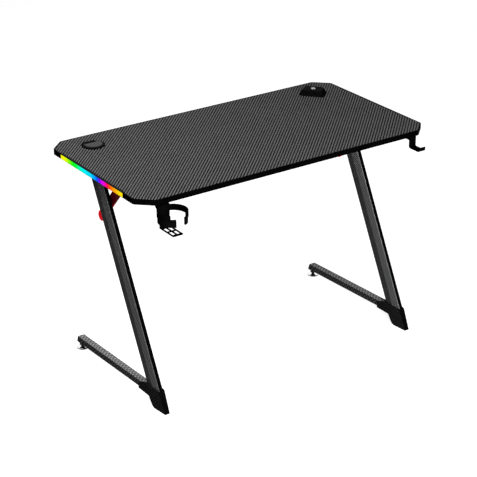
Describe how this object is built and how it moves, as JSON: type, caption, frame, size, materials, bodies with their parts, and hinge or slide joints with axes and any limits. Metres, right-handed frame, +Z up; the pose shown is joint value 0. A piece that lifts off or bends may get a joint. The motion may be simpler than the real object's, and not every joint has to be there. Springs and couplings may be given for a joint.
{
  "type": "desk",
  "caption": "Straight desk with leaning Z-shaped legs, dark weave top with cut corners, lit side edges, cable grommet, corner hub, cup holder and headphone hook",
  "frame": {"origin": "on the floor under the middle of the whole desk with its cup holder and feet", "axes": "+Z up, +X along the long side to the user's right, +Y away from the user"},
  "size_m": [1.1424, 0.6951, 0.7716],
  "materials": {
    "carbon_laminate": "carbon-look laminate with a diagonal weave over particle board, satin",
    "black_edging": "black edge band, satin",
    "black_aluminium": "black anodised aluminium profile",
    "white_tape": "white flexible circuit tape with light chips",
    "light_diffuser": "milky diffuser lit in a colour run from red through green to blue",
    "leg_paint": "black powder coat, fine texture",
    "red_paint": "red powder coat, satin",
    "carbon_moulding": "black moulding with a printed carbon weave",
    "black_rubber": "black rubber, matt",
    "black_steel": "black oxide steel",
    "brass": "plain turned brass",
    "grey_steel": "zinc plated steel",
    "grey_plastic": "dark grey plastic cap, satin",
    "circuit_board": "green circuit board",
    "bright_steel": "bright pressed steel",
    "white_plastic": "white lit push button",
    "black_moulding": "black injection moulding, fine texture"
  },
  "bodies": {
    "desk_frame": {"beam_front": "leg_paint", "beam_rear": "leg_paint", "beam_screws": "black_steel", "column_left": "leg_paint", "column_right": "leg_paint", "controller_case": "black_moulding", "controller_circuit": "circuit_board", "controller_jack": "black_moulding", "controller_lid": "black_moulding", "controller_screws": "black_steel", "cup_bracket": "black_moulding", "cup_grips": "black_rubber", "cup_ring": "black_moulding", "cup_ring_screw": "black_steel", "cup_screws": "black_steel", "desktop_board": "carbon_laminate", "edge_band_front": "black_edging", "edge_band_rear": "black_edging", "foot_cap_left": "black_moulding", "foot_cap_right": "black_moulding", "foot_rail_left": "leg_paint", "foot_rail_right": "leg_paint", "grommet_sleeve": "black_moulding", "headphone_hook": "black_moulding", "hook_screws": "black_steel", "hub_base": "black_moulding", "hub_circuit": "circuit_board", "hub_housing": "black_moulding", "hub_lock_nut": "black_moulding", "hub_ports": "bright_steel", "led_channel_left": "black_aluminium", "led_channel_right": "black_aluminium", "led_diffuser_left": "light_diffuser", "led_diffuser_right": "light_diffuser", "led_tape_left": "white_tape", "led_tape_right": "white_tape", "levelling_bushes": "brass", "rail_screws": "black_steel", "shoe_left": "carbon_moulding", "shoe_pad_left": "black_rubber", "shoe_pad_right": "black_rubber", "shoe_right": "carbon_moulding", "strut_left": "red_paint", "strut_right": "red_paint", "strut_screws": "black_steel", "threaded_inserts": "brass", "top_rail_caps": "black_moulding", "top_rail_left": "leg_paint", "top_rail_right": "leg_paint"},
    "grommet_cap": {"grommet_cap": "grey_plastic"},
    "hub_button": {"hub_button": "white_plastic"},
    "controller_button": {"controller_button": "black_moulding"},
    "levelling_foot_left": {"levelling_foot_left": "grey_steel", "levelling_pad_left": "black_rubber"},
    "levelling_foot_right": {"levelling_foot_right": "grey_steel", "levelling_pad_right": "black_rubber"}
  },
  "joints": [
    {"name": "grommet_cap_turn", "type": "hinge", "parent": "desk_frame", "child": "grommet_cap", "pos_m": [-0.447, 0.25465, 0.7515], "axis": [0, 0, 1], "continuous": true},
    {"name": "hub_button_press", "type": "slide", "parent": "desk_frame", "child": "hub_button", "axis": [0, 0, -1], "range_m": [0, 0.0012], "stiffness_N_per_m": 300},
    {"name": "controller_button_press", "type": "slide", "parent": "desk_frame", "child": "controller_button", "axis": [0, 1, 0], "range_m": [0, 0.001], "stiffness_N_per_m": 300},
    {"name": "levelling_left_turn", "type": "hinge", "parent": "desk_frame", "child": "levelling_foot_left", "pos_m": [-0.5006, 0.29265, 0.02], "axis": [0, 0, 1], "range_deg": [-360, 2880]},
    {"name": "levelling_right_turn", "type": "hinge", "parent": "desk_frame", "child": "levelling_foot_right", "pos_m": [0.5006, 0.29265, 0.02], "axis": [0, 0, 1], "range_deg": [-360, 2880]}
  ]
}
